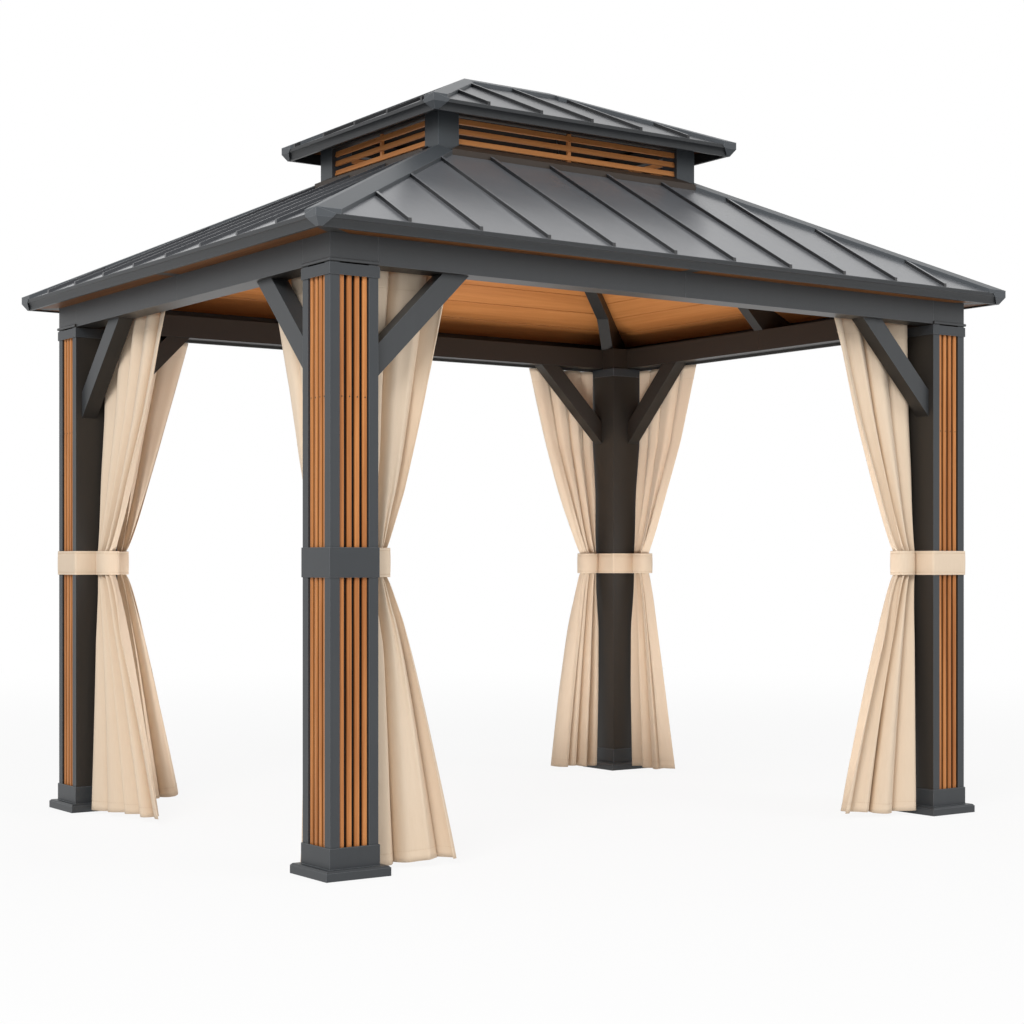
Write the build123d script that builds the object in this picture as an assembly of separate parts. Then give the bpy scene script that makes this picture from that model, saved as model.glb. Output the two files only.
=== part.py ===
from build123d import *
from math import hypot
import os

# A free-standing metal gazebo with a two-tier hipped roof, slatted posts and tied-back curtains.
# Millimetres, +Z up. The origin is on the ground under the middle of the roof.
# X runs along the long sides. The front is towards -Y and the left side towards -X.

# Overall frame, measured over the outer faces of the posts
frame_length = 3200
frame_width = 2440
beam_underside = 2136

# Posts: folded square tubes with a shallow channel for slats in each outer face
post_width = 194
post_wall = 3
post_flange = 38
channel_depth = 24

# Slats in the post channels
slat_count = 4
slat_width = 19
slat_depth = 18
slat_round = 4
slat_edge_gap = 3
slat_top_gap = 20

# Base covers at the foot of each post
plate_projection = 33
plate_height = 36
plate_chamfer = 7
sleeve_top = 110
sleeve_wall = 4
sleeve_chamfer = 2

# Collars and caps that wrap the posts
wrap_clearance = 0.3
collar_wall = 3
collar_height = 105
collar_middle = 1096
cap_wall = 4
cap_height = 40
cap_shadow_gap = 5

# Beams and corner blocks
beam_height = 100
beam_width = 100
beam_wall = 3
splice_gap = 0.8
bead_height = 12
bead_projection = 7
bead_round = 4

# Knee braces
brace_reach = 400
brace_height = 80
brace_thickness = 68
brace_setback = 28

# Lower roof, at the outer faces of its sheets
eave_overhang = 124
eave_rise = 38
vent_length = 1354
vent_width = 960
lower_rise = 494

# Upper roof
upper_overhang_end = 115
upper_overhang_side = 145
vent_rise = 167
ridge_length = 460
upper_rise = 264

# Roof skins, measured straight down
sheet_drop = 4
lining_drop = 8
hip_joint = 6

# Standing seams
seam_width = 14
seam_height = 15
seam_pitch = 300
upper_seam_pitch = 262
seam_eave_gap = 5

# Hip and ridge caps
hip_cap_width = 124
upper_hip_cap_width = 96
hip_cap_height = 17
hip_cap_wall = 3
hip_cap_joint = 0.6

# Eave trim: a lip over a hollow curve
trim_height = 44
trim_depth = 32
trim_lip = 14
trim_step = 4
trim_foot = 12
trim_cover = 3
trim_joint = 0.4

# Folded covers over the corners of the eave trim
corner_cover_top = 80
corner_cover_foot = 36
corner_cover_wall = 2

# Rafters, the soffits under the eaves and the ring frame round the roof opening
rafter_width = 60
rafter_depth = 70
rafter_heel = 110
soffit_thickness = 8
soffit_bearing = 30
ring_depth = 60
ring_height = 72
flashing_width = 52
flashing_height = 25

# Vent tier
vent_post_width = 100
vent_post_wall = 3
head_height = 60
head_depth = 40
louvre_count = 3
louvre_height = 22
louvre_thickness = 9
louvre_setback = 22
louvre_tilt = 11
stile_width = 18
stile_depth = 10

# Curtain rails, on the inner faces of two beams and under the other two
rail_size = 12
inner_rail_lift = 14
outer_rail_setback = 4

# Curtains and their ties
curtain_clearance = 3
curtain_hem_height = 25
long_side_spread = 480
short_side_spread = 600
curtain_waist = 122
inner_curtain_near = 104
inner_curtain_far = 182
inner_waist_near = 80
inner_waist_far = 165
inner_hem_near = 25
inner_hem_far = 190
outer_curtain_bulge = 14
outer_waist_near = 4
outer_waist_far = 88
outer_hem_far = 120
tie_wall = 3
tie_clearance = 0.4

# Widths of the curtains on their rails and at their hems, as shares of the spread on their side,
# going round from the front left post: front, right, back, left, two curtains a side
curtain_top_shares = (0.75, 1, 0.74, 0.74, 0.83, 0.9, 1, 0.68)
curtain_hem_shares = (0.73, 0.9, 0.6, 0.58, 0.6, 0.75, 1.03, 0.46)

# An overrun that lets cutting shapes pass right through
overrun = 50

os.makedirs("parts", exist_ok=True)

half_length = frame_length / 2
half_width = frame_width / 2
half_post = post_width / 2
beam_top = beam_underside + beam_height
eave_height = beam_top + eave_rise
roof_opening_height = eave_height + lower_rise
upper_eave_height = roof_opening_height + vent_rise
ridge_height = upper_eave_height + upper_rise
plate_width = post_width + 2 * plate_projection

# Quarter turns that carry a piece made for the front to each side,
# and a piece made for the front left corner to each corner
side_turns = {"front": 0, "right": 90, "back": 180, "left": 270}
corner_turns = {"front_left": 0, "front_right": 90, "back_right": 180, "back_left": 270}
corner_signs = {"front_left": (-1, -1), "front_right": (1, -1), "back_right": (1, 1), "back_left": (-1, 1)}


def write(name, *solids):
    """Writes one node made of one or more solids."""
    pieces = [solid for shape in solids for solid in shape.solids()]
    shape = pieces[0] if len(pieces) == 1 else Compound(children=pieces)
    shape.label = name
    export_step(shape, f"parts/{name}.step")


def box_between(low, high):
    """A box given by two opposite corners."""
    size = [b - a for a, b in zip(low, high)]
    middle = [(a + b) / 2 for a, b in zip(low, high)]
    return Pos(*middle) * Box(*size)


def square_ring(inner, outer, bottom, top):
    """A square sleeve round the Z axis."""
    return Pos(0, 0, bottom) * extrude(Rectangle(outer, outer) - Rectangle(inner, inner), top - bottom)


def plan_prism(points, bottom, top):
    """An upright prism over an outline in plan."""
    face = make_face(Polyline(*points, close=True))
    return extrude(Pos(0, 0, bottom) * face, amount=top - bottom, dir=(0, 0, 1))


def section_prism(points, half):
    """A prism along X over an outline given as (y, z) points, reaching half to each side."""
    face = make_face(Polyline(*points, close=True))
    return extrude(Plane.YZ * face, amount=half, both=True)


def at_corner(corner, shape):
    """Places a piece made about the Z axis, with its outer faces to -X and -Y, on a post's axis."""
    sign_x, sign_y = corner_signs[corner]
    place = Pos(sign_x * (half_length - half_post), sign_y * (half_width - half_post), 0)
    return place * Rot(0, 0, corner_turns[corner]) * shape


def at_side(side, shape):
    """Turns a piece made for the front to another side."""
    return Rot(0, 0, side_turns[side]) * shape


def is_long(side):
    """True for the two sides that run along X."""
    return side in ("front", "back")


def along_and_out(side, size_x, size_y):
    """Orders an X size and a Y size as (along the side, away from the middle)."""
    return (size_x, size_y) if is_long(side) else (size_y, size_x)


class HipRoof:
    """The outer faces of a hipped roof between an eave rectangle and a smaller top rectangle."""

    def __init__(self, eave_x, eave_y, eave_z, top_x, top_y, top_z):
        self.eave = (eave_x, eave_y)
        self.top = (top_x, top_y)
        self.eave_z = eave_z
        self.top_z = top_z

    def side_sizes(self, side):
        """Half length and distance from the middle, at the eave and at the top."""
        return along_and_out(side, *self.eave) + along_and_out(side, *self.top)

    def slope(self, side):
        """Rise for each unit of run up one side."""
        out_eave, out_top = self.side_sizes(side)[1::2]
        return (self.top_z - self.eave_z) / (out_eave - out_top)

    def side_plan(self, side, hip_margin):
        """Plan of one side, as if it faced the front, pulled in from the hips."""
        half_eave, out_eave, half_top, out_top = self.side_sizes(side)
        across, up = half_eave - half_top, out_eave - out_top
        shift = hip_margin * hypot(across, up) / up
        half_low, half_high = half_eave - shift, half_top - shift
        low = [(-half_low, -out_eave), (half_low, -out_eave)]
        if half_high > 0:
            return low + [(half_high, -out_top), (-half_high, -out_top)]
        return low + [(0, -out_eave + up * half_low / across)]

    def layer(self, side, high, low, top_gap):
        """A band of one side between two levels, both measured straight down from the outer face."""
        half_eave, out_eave = self.side_sizes(side)[:2]
        end = self.side_sizes(side)[3] + top_gap
        end_z = self.top_z - top_gap * self.slope(side)
        outline = [
            (-out_eave, self.eave_z - low), (-end, end_z - low),
            (-end, end_z - high), (-out_eave, self.eave_z - high),
        ]
        return section_prism(outline, half_eave)

    def panel(self, side, high, low, hip_margin, eave_gap=0, top_gap=0):
        """One side's band, mitred along the hips and kept inside all four eaves."""
        bottom, top = self.eave_z - overrun, self.top_z + overrun
        half_eave, out_eave = self.side_sizes(side)[:2]
        half, out = half_eave - eave_gap, out_eave - eave_gap
        inside = box_between((-half, -out, bottom), (half, 0, top))
        plan = plan_prism(self.side_plan(side, hip_margin), bottom, top)
        return self.layer(side, high, low, top_gap) & plan & inside

    def body(self, lift, depth=2 * overrun):
        """The whole roof as a solid down to a depth under its eaves, its outer faces raised by a lift."""
        tents = []
        for side in ("front", "right"):
            half_eave, out_eave = self.side_sizes(side)[:2]
            out_top = self.side_sizes(side)[3]
            base = self.eave_z - depth
            outline = [(-out_eave, base), (-out_eave, self.eave_z + lift), (-out_top, self.top_z + lift)]
            if out_top > 0:
                outline.append((out_top, self.top_z + lift))
            outline += [(out_eave, self.eave_z + lift), (out_eave, base)]
            tents.append(at_side(side, section_prism(outline, half_eave)))
        return tents[0] & tents[1]


lower_roof = HipRoof(
    half_length + eave_overhang, half_width + eave_overhang, eave_height,
    vent_length / 2, vent_width / 2, roof_opening_height,
)
upper_roof = HipRoof(
    vent_length / 2 + upper_overhang_end, vent_width / 2 + upper_overhang_side, upper_eave_height,
    ridge_length / 2, 0, ridge_height,
)


# Posts

def post():
    channel = post_width - 2 * post_flange
    inset = (post_width - channel_depth) / 2
    outline = Rectangle(post_width, post_width)
    outline -= Pos(-inset, 0) * Rectangle(channel_depth, channel)
    outline -= Pos(0, -inset) * Rectangle(channel, channel_depth)
    hollow = offset(outline, amount=-post_wall, kind=Kind.INTERSECTION)
    return extrude(outline - hollow, amount=beam_underside)


def post_slats():
    """The slats of one post: a row in each outer face, seated on the channel floors, up behind the cap."""
    channel = post_width - 2 * post_flange
    pitch = (channel - slat_width - 2 * slat_edge_gap) / (slat_count - 1)
    out = half_post - channel_depth + slat_depth / 2
    length = beam_underside - slat_top_gap
    slat = extrude(RectangleRounded(slat_width, slat_depth, slat_round), amount=length)
    slats = []
    for index in range(slat_count):
        along = (index - (slat_count - 1) / 2) * pitch
        slats.append(Pos(along, -out, 0) * slat)
        slats.append(Rot(0, 0, -90) * Pos(along, -out, 0) * slat)
    return slats


def base_cover():
    """A plate with a chamfered top edge and a sleeve that wraps the post."""
    hole = post_width + 2 * wrap_clearance
    sleeve = hole + 2 * sleeve_wall
    plate = extrude(Rectangle(plate_width, plate_width), amount=plate_height)
    plate = chamfer(plate.faces().sort_by(Axis.Z)[-1].edges(), plate_chamfer)
    upstand = extrude(Rectangle(sleeve, sleeve), amount=sleeve_top)
    upstand = chamfer(upstand.faces().sort_by(Axis.Z)[-1].edges(), sleeve_chamfer)
    return plate + upstand - extrude(Rectangle(hole, hole), amount=sleeve_top)


def post_collar():
    inner = post_width + 2 * wrap_clearance
    bottom = collar_middle - collar_height / 2
    return square_ring(inner, inner + 2 * collar_wall, bottom, bottom + collar_height)


def post_cap():
    inner = post_width + 2 * wrap_clearance
    top = beam_underside - cap_shadow_gap
    return square_ring(inner, inner + 2 * cap_wall, top - cap_height, top)


for corner in corner_turns:
    write(f"{corner}_post", at_corner(corner, post()))
    write(f"{corner}_post_slats", *[at_corner(corner, slat) for slat in post_slats()])
write("base_covers", *[at_corner(corner, base_cover()) for corner in corner_turns])
write("post_collars", *[at_corner(corner, post_collar()) for corner in corner_turns])
write("post_caps", *[at_corner(corner, post_cap()) for corner in corner_turns])


# Beams and corner blocks

def corner_block():
    """A square tube on top of a post, with a rounded bead along the foot of its two outer faces."""
    block = square_ring(post_width - 2 * beam_wall, post_width, beam_underside, beam_top)
    reach = half_post + bead_projection
    bead_top = beam_underside + bead_height
    bead = box_between((-reach, -reach, beam_underside), (half_post, half_post, bead_top))
    front_edges = bead.edges().filter_by(Axis.X).group_by(Axis.Y)[0]
    side_edges = bead.edges().filter_by(Axis.Y).group_by(Axis.X)[0]
    bead = fillet(front_edges + side_edges, bead_round)
    inner = half_post - beam_wall
    bead -= box_between((-inner, -inner, beam_underside), (half_post, half_post, bead_top))
    return block + bead


def beam_halves(side):
    """Two tube lengths that butt on the corner blocks and almost meet at the middle."""
    half_along, out = along_and_out(side, half_length, half_width)
    length = half_along - post_width - splice_gap / 2
    tube = Rectangle(beam_width, beam_height)
    tube -= Rectangle(beam_width - 2 * beam_wall, beam_height - 2 * beam_wall)
    half = extrude(Plane.YZ * tube, amount=length)
    middle = Pos(0, beam_width / 2 - out, beam_underside + beam_height / 2)
    return [middle * Pos(start, 0, 0) * half for start in (splice_gap / 2, -splice_gap / 2 - length)]


def knee_braces(side):
    """A mitred tube at each end of a side, from the post up to the underside of the beam."""
    half_along, out = along_and_out(side, half_length, half_width)
    foot = half_along - post_width
    cut = hypot(brace_height, brace_height)
    outline = [
        (foot, beam_underside - brace_reach), (foot, beam_underside - brace_reach + cut),
        (foot - brace_reach + cut, beam_underside), (foot - brace_reach, beam_underside),
    ]
    face = make_face(Polyline(*outline, close=True))
    brace = extrude(Plane.XZ * face, amount=brace_thickness, dir=(0, 1, 0))
    brace = Pos(0, brace_setback - out, 0) * brace
    return [brace, mirror(brace, about=Plane.YZ)]


write("corner_blocks", *[at_corner(corner, corner_block()) for corner in corner_turns])
for side in side_turns:
    write(f"{side}_beam", *[at_side(side, half) for half in beam_halves(side)])
write("knee_braces", *[at_side(side, brace) for side in side_turns for brace in knee_braces(side)])


# Roof sheets, lining, trim and caps, the same way for both tiers

under_lining = sheet_drop + lining_drop


def seam_places(half_reach, pitch, on_middle):
    """Places of the standing seams along one side, mirrored about its middle."""
    first = 0 if on_middle else pitch / 2
    count = int((half_reach - first) // pitch) + 1
    places = [first + index * pitch for index in range(count)]
    return sorted({sign * place for place in places for sign in (-1, 1)})


def roof_sheet(roof, side, pitch, on_middle, cap_width, top_cover):
    """A flat sheet with standing seams that stop at the eave trim, the hip caps and the top cover."""
    sheet = roof.panel(side, 0, sheet_drop, hip_joint / 2, trim_cover)
    half_eave, out = roof.side_sizes(side)[:2]
    band = roof.panel(side, -seam_height, 0, cap_width / 2, seam_eave_gap, top_cover)
    for place in seam_places(half_eave, pitch, on_middle):
        blade = box_between((place - seam_width / 2, -out, roof.eave_z),
                            (place + seam_width / 2, 0, roof.top_z + overrun))
        for rib in (band & blade).solids():
            sheet += rib
    return at_side(side, sheet)


def roof_lining(roof, side, top_gap=0):
    """The wood-look lining against the underside of a sheet."""
    lining = roof.panel(side, sheet_drop, under_lining, hip_joint / 2, trim_depth, top_gap)
    return at_side(side, lining)


def eave_trim(roof, side):
    """A moulded length under the edge of a sheet, mitred in plan at both ends."""
    half_eave, out = roof.side_sizes(side)[:2]
    rise = min(roof.slope("front"), roof.slope("right"))
    top = roof.eave_z
    foot_out = out - trim_depth + trim_foot
    step = (-(out - trim_step), top - trim_lip)
    foot = (-foot_out, top - trim_height)
    hollow = RadiusArc(step, foot, trim_height - trim_lip)
    rest = Polyline(
        foot, (-(out - trim_depth), top - trim_height),
        (-(out - trim_depth), top + trim_depth * rise - sheet_drop),
        (-(out - trim_cover), top + trim_cover * rise - sheet_drop),
        (-(out - trim_cover), top), (-out, top), (-out, top - trim_lip), step,
    )
    length = extrude(Plane.YZ * make_face([hollow, rest]), amount=half_eave, both=True)
    end = half_eave - trim_joint / 2
    back, inner_end = trim_depth - out, end - trim_depth
    mitre = [(-end, -out), (end, -out), (inner_end, back), (-inner_end, back)]
    return at_side(side, length & plan_prism(mitre, top - trim_height - overrun, top + overrun))


def eave_corners(roof):
    """Folded covers over the mitres of the eave trim, which also close the feet of the hip caps."""
    eave_x, eave_y = roof.eave
    top = roof.eave_z + hip_cap_height
    lip = roof.eave_z - trim_lip
    bottom = roof.eave_z - trim_height
    near = eave_y + wrap_clearance
    foot = near - trim_depth + trim_foot
    wall = corner_cover_wall
    section = [
        (-near, top), (-near - wall, top), (-near - wall, lip),
        (-foot - wall, bottom), (-foot, bottom), (-near, lip),
    ]
    corner_x, corner_y = -eave_x - wrap_clearance - wall, -near - wall
    outline = [
        (corner_x, bottom), (corner_x + corner_cover_foot, bottom),
        (corner_x + corner_cover_top, roof.eave_z), (corner_x, top),
    ]
    front = extrude(Plane.XZ * make_face(Polyline(*outline, close=True)), amount=eave_y + overrun)
    inner = (corner_x + corner_cover_top, corner_y + corner_cover_top)
    mitre = [(corner_x, corner_y), (corner_x + corner_cover_top, corner_y), inner]
    wing = section_prism(section, eave_x + overrun) & front & plan_prism(mitre, bottom, top)
    fold = Plane(origin=(corner_x, corner_y, 0), z_dir=(1, -1, 0))
    cover = wing + mirror(wing, about=fold)
    pair = [cover, mirror(cover, about=Plane.YZ)]
    return pair + [mirror(shape, about=Plane.XZ) for shape in pair]


def along_hip(roof, sign_x, sign_y, width):
    """An upright slab that follows one hip line in plan."""
    (eave_x, eave_y), (top_x, top_y) = roof.eave, roof.top
    start = Vector(sign_x * eave_x, sign_y * eave_y)
    end = Vector(sign_x * top_x, sign_y * top_y)
    heading = (end - start).normalized()
    if top_y == 0:
        end += heading * width
    aside = heading.rotate(Axis.Z, 90) * (width / 2)
    corners = [start + aside, start - aside, end - aside, end + aside]
    return plan_prism([(p.X, p.Y) for p in corners], roof.eave_z - overrun, roof.top_z + overrun)


def own_quarter(roof, sign_x, sign_y, gap):
    """The plan quarter of one hip, clear of the other hips and of a ridge cap by a gap."""
    near_x = roof.top[0] + gap if roof.top[1] == 0 else 0
    xs = sorted((sign_x * near_x, sign_x * roof.eave[0]))
    ys = sorted((sign_y * gap, sign_y * roof.eave[1]))
    return box_between((xs[0], ys[0], roof.eave_z - overrun), (xs[1], ys[1], roof.top_z + overrun))


def hip_caps(roof, width):
    """Folded caps that straddle the hips, closed at the eave and where they meet a ridge cap."""
    shell = roof.body(hip_cap_height) - roof.body(0)
    hollow = roof.body(hip_cap_height - hip_cap_wall) - roof.body(-overrun)
    end_x, end_y = roof.eave[0] - hip_cap_wall, roof.eave[1] - hip_cap_wall
    hollow &= box_between((-end_x, -end_y, roof.eave_z - overrun), (end_x, end_y, roof.top_z + overrun))
    caps = []
    for sign_x, sign_y in corner_signs.values():
        strip = shell & along_hip(roof, sign_x, sign_y, width)
        bore = hollow & along_hip(roof, sign_x, sign_y, width - 2 * hip_cap_wall)
        strip -= bore & own_quarter(roof, sign_x, sign_y, hip_cap_joint + hip_cap_wall)
        caps.append(strip & own_quarter(roof, sign_x, sign_y, hip_cap_joint))
    return caps


for side in side_turns:
    write(f"lower_{side}_roof_sheet",
          roof_sheet(lower_roof, side, seam_pitch, False, hip_cap_width, flashing_width))
    write(f"lower_{side}_eave_trim", eave_trim(lower_roof, side))
write("lower_lining", *[roof_lining(lower_roof, side) for side in side_turns])
write("lower_hip_caps", *hip_caps(lower_roof, hip_cap_width))
write("lower_eave_corners", *eave_corners(lower_roof))


# Rafters and the ring frame that carry the lower roof, and the soffits under its eaves

def middle_rafter(side):
    """A rafter with a heel that sits on the beam and a tail that carries the eave trim."""
    out_eave, out_top = lower_roof.side_sizes(side)[1::2]
    rise = lower_roof.slope(side)
    out_beam = out_eave - eave_overhang - beam_width
    out_heel = out_beam - rafter_heel
    tail = out_eave - trim_depth

    def under(out):
        return lower_roof.eave_z - under_lining + (out_eave - out) * rise

    plumb_depth = rafter_depth * hypot(1, rise)
    outline = [
        (-tail, beam_top), (-tail, under(tail)), (-out_top, under(out_top)),
        (-out_top, under(out_top) - plumb_depth), (-out_heel, under(out_heel) - plumb_depth),
        (-out_beam, beam_top),
    ]
    return at_side(side, section_prism(outline, rafter_width / 2))


def hip_rafters():
    """Rafters from the corner blocks to the corners of the ring, dressed to the two slopes above them."""
    shade = lower_roof.body(-under_lining)
    (eave_x, eave_y), (top_x, top_y) = lower_roof.eave, lower_roof.top
    inner_x = half_length - post_width
    share_at_block = (eave_x - inner_x) / (eave_x - top_x)
    block_z = lower_roof.eave_z + share_at_block * (lower_roof.top_z - lower_roof.eave_z)
    drop = rafter_depth + under_lining
    run = hypot(eave_x - top_x, eave_y - top_y)
    rise = (lower_roof.top_z - lower_roof.eave_z) / run
    block = run * share_at_block
    share_x, share_y = (eave_x - top_x) / run, (eave_y - top_y) / run
    half = rafter_width / 2
    tail = max((trim_depth + half * share_y) / share_x, (trim_depth + half * share_x) / share_y)
    rafters = []
    for sign_x, sign_y in corner_signs.values():
        heading = Vector(sign_x * (top_x - eave_x), sign_y * (top_y - eave_y))
        outline = [
            (tail, beam_top), (tail, block_z), (run, lower_roof.top_z),
            (run, lower_roof.top_z - drop), (block + rafter_heel, block_z + rafter_heel * rise - drop),
            (block, beam_top),
        ]
        face = make_face(Polyline(*outline, close=True))
        start = (sign_x * eave_x, sign_y * eave_y, 0)
        upright = Plane(start, x_dir=heading, z_dir=heading.cross(Vector(0, 0, 1)))
        rafters.append(extrude(upright * face, amount=half, both=True) & shade)
    return rafters


def eave_soffits(rafters):
    """Boards that close the eaves between the trim and the beams, cut round the rafters."""
    eave_x, eave_y = lower_roof.eave
    outer = trim_depth + trim_joint
    inner = eave_overhang + soffit_bearing
    plan = Rectangle(2 * (eave_x - outer), 2 * (eave_y - outer))
    plan -= Rectangle(2 * (eave_x - inner), 2 * (eave_y - inner))
    boards = extrude(Pos(0, 0, beam_top) * plan, amount=soffit_thickness)
    for rafter in rafters:
        boards -= rafter
    return boards


def ring_bar(side):
    """One bar of the ring frame; the bars butt at the corners."""
    half_along, out = along_and_out(side, vent_length / 2, vent_width / 2)
    end = half_along if is_long(side) else half_along - ring_depth
    bottom = roof_opening_height - ring_height
    bar = box_between((-end, -out, bottom), (end, ring_depth - out, roof_opening_height))
    return at_side(side, bar)


def flashing(side):
    """A folded strip over the top edge of a roof sheet."""
    strip = lower_roof.panel(side, -flashing_height, 0, hip_cap_width / 2)
    half_eave = lower_roof.side_sizes(side)[0]
    out_top = lower_roof.side_sizes(side)[3]
    keep = box_between((-half_eave, -out_top - flashing_width, eave_height),
                       (half_eave, -out_top, roof_opening_height + overrun))
    return at_side(side, strip & keep)


middle_row = [middle_rafter(side) for side in side_turns]
hip_row = hip_rafters()
write("middle_rafters", *middle_row)
write("hip_rafters", *hip_row)
write("eave_soffits", eave_soffits(middle_row + hip_row))
for side in side_turns:
    write(f"ring_{side}_bar", ring_bar(side))
write("vent_flashing", *[flashing(side) for side in side_turns])


# Vent tier

def vent_posts():
    """Short square tubes on the corners of the ring, cut to the slopes of the upper lining."""
    shade = upper_roof.body(-under_lining, vent_rise + overrun)
    inset = vent_post_width / 2
    posts = []
    for sign_x, sign_y in corner_signs.values():
        bore = vent_post_width - 2 * vent_post_wall
        tube = square_ring(bore, vent_post_width, roof_opening_height, ridge_height)
        tube = Pos(sign_x * (vent_length / 2 - inset), sign_y * (vent_width / 2 - inset), 0) * tube
        posts.append(tube & shade)
    return posts


def head_bottom():
    """Underside of the head bars, one bar height under the lowest point of the upper lining."""
    end_rise = upper_roof.slope("right") * upper_overhang_end
    return upper_eave_height + end_rise - under_lining - head_height


def head_bar(side):
    half_along, out = along_and_out(side, vent_length / 2, vent_width / 2)
    end = half_along - vent_post_width
    bottom = head_bottom()
    return at_side(side, box_between((-end, -out, bottom), (end, head_depth - out, bottom + head_height)))


def louvre_panel(side):
    """Tilted slats between two vent posts, joined by a stile at the middle."""
    half_along, out = along_and_out(side, vent_length / 2, vent_width / 2)
    end = half_along - vent_post_width
    bottom, top = roof_opening_height, head_bottom()
    pitch = (top - bottom - flashing_height) / louvre_count
    panel = box_between((-stile_width / 2, louvre_setback - out, bottom),
                        (stile_width / 2, louvre_setback + stile_depth - out, top))
    blade = extrude(Plane.YZ * Rectangle(louvre_thickness, louvre_height), amount=end, both=True)
    for index in range(louvre_count):
        level = bottom + flashing_height + (index + 1 / 2) * pitch
        panel += Pos(0, louvre_setback - out, level) * Rot(-louvre_tilt, 0, 0) * blade
    return at_side(side, panel)


write("vent_posts", *vent_posts())
write("vent_head_bars", *[head_bar(side) for side in side_turns])
write("vent_louvres", *[louvre_panel(side) for side in side_turns])


# Upper roof

def ridge_cap():
    """A folded cap along the ridge, between the hip caps."""
    end = ridge_length / 2

    def strip(lift, drop, half):
        shell = upper_roof.body(lift) - upper_roof.body(drop)
        return shell & box_between((-end, -half, upper_eave_height), (end, half, ridge_height + overrun))

    half = upper_hip_cap_width / 2
    hollow = strip(hip_cap_height - hip_cap_wall, -overrun, half - hip_cap_wall)
    return strip(hip_cap_height, 0, half) - hollow


for side in side_turns:
    sheet = roof_sheet(upper_roof, side, upper_seam_pitch, True, upper_hip_cap_width, upper_hip_cap_width / 2)
    write(f"upper_{side}_roof_sheet", sheet)
write("upper_eave_trim", *[eave_trim(upper_roof, side) for side in side_turns])
write("upper_eave_corners", *eave_corners(upper_roof))
write("upper_lining", *[roof_lining(upper_roof, side, hip_joint / 2) for side in side_turns])
write("upper_roof_caps", ridge_cap(), *hip_caps(upper_roof, upper_hip_cap_width))


# Curtain rails, curtains and ties

curtain_names = {
    ("front", -1): "front_curtain_at_front_left", ("front", 1): "front_curtain_at_front_right",
    ("right", -1): "right_curtain_at_front_right", ("right", 1): "right_curtain_at_back_right",
    ("back", -1): "back_curtain_at_back_right", ("back", 1): "back_curtain_at_back_left",
    ("left", -1): "left_curtain_at_back_left", ("left", 1): "left_curtain_at_front_left",
}


def hangs_inside(side):
    """True for the two sides whose curtains hang inside the knee braces; the others hang outside them."""
    return side in ("front", "left")


def rail_bottom(side):
    return beam_underside + inner_rail_lift if hangs_inside(side) else beam_underside - rail_size


def curtain_rail(side):
    """A rail over the curtains of one side."""
    half_along, out = along_and_out(side, half_length, half_width)
    end = half_along - post_width - wrap_clearance - cap_wall
    near = (beam_width if hangs_inside(side) else outer_rail_setback) - out
    bottom = rail_bottom(side)
    return at_side(side, box_between((-end, near, bottom), (end, near + rail_size, bottom + rail_size)))


def curtain(side, hand):
    """A gathered curtain at one end of a side: wide on its rail, narrow in its tie, spread at the hem."""
    half_along, out = along_and_out(side, half_length, half_width)
    start = half_along - post_width - collar_wall - tie_wall - curtain_clearance
    place = list(curtain_names).index((side, hand))
    side_spread = long_side_spread if is_long(side) else short_side_spread
    spread = curtain_top_shares[place] * side_spread
    hem = curtain_hem_shares[place] * side_spread
    tie_bottom = collar_middle - collar_height / 2
    tie_top = tie_bottom + collar_height
    top = rail_bottom(side)
    brace_foot = beam_underside - brace_reach - curtain_clearance
    pinch = (top - brace_foot) / (top - tie_top)
    if hangs_inside(side):
        near, far = inner_curtain_near, inner_curtain_far
        waist_near, waist_far = inner_waist_near, inner_waist_far
        hem_near, hem_far = inner_hem_near, inner_hem_far
    else:
        near, far = -outer_curtain_bulge, brace_setback - curtain_clearance
        waist_near, waist_far = outer_waist_near, outer_waist_far
        hem_near, hem_far = outer_waist_near, outer_hem_far
    beside_plate = start - plate_projection + collar_wall + tie_wall
    stations = [
        (curtain_hem_height, beside_plate, hem, hem_near, hem_far),
        (tie_bottom, start, curtain_waist, waist_near, waist_far),
        (tie_top, start, curtain_waist, waist_near, waist_far),
        (brace_foot, start, spread + (curtain_waist - spread) * pinch, near, far),
        (top, start, spread, near, far),
    ]
    faces = []
    for level, edge, reach, close, away in stations:
        outline = Rectangle(edge - start + reach, away - close)
        middle = (edge + start - reach) / 2
        faces.append(Pos(middle, (close + away) / 2 - out, level) * outline)
    solid = loft(faces, ruled=True)
    return at_side(side, solid if hand > 0 else mirror(solid, about=Plane.YZ))


def curtain_tie(side, hand):
    """A strap round the waist of one curtain, fixed to the post's collar."""
    half_along, out = along_and_out(side, half_length, half_width)
    near, far = outer_waist_near, outer_waist_far
    if hangs_inside(side):
        near, far = inner_waist_near, inner_waist_far
    face = half_along - post_width - wrap_clearance - collar_wall
    start = half_along - post_width - collar_wall - tie_wall - curtain_clearance
    bottom = collar_middle - collar_height / 2
    low = (start - curtain_waist - tie_clearance, near - tie_clearance - out, bottom)
    high = (start + tie_clearance, far + tie_clearance - out, bottom + collar_height)
    outer_low = (low[0] - tie_wall, low[1] - tie_wall, low[2])
    outer = box_between(outer_low, (face, high[1] + tie_wall, high[2]))
    strap = outer - box_between(low, high)
    return at_side(side, strap if hand > 0 else mirror(strap, about=Plane.YZ))


def post_strap():
    """A strap that runs round the collar of a post."""
    inner = post_width + 2 * (wrap_clearance + collar_wall + tie_clearance)
    bottom = collar_middle - collar_height / 2
    return square_ring(inner, inner + 2 * tie_wall, bottom, bottom + collar_height)


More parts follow.
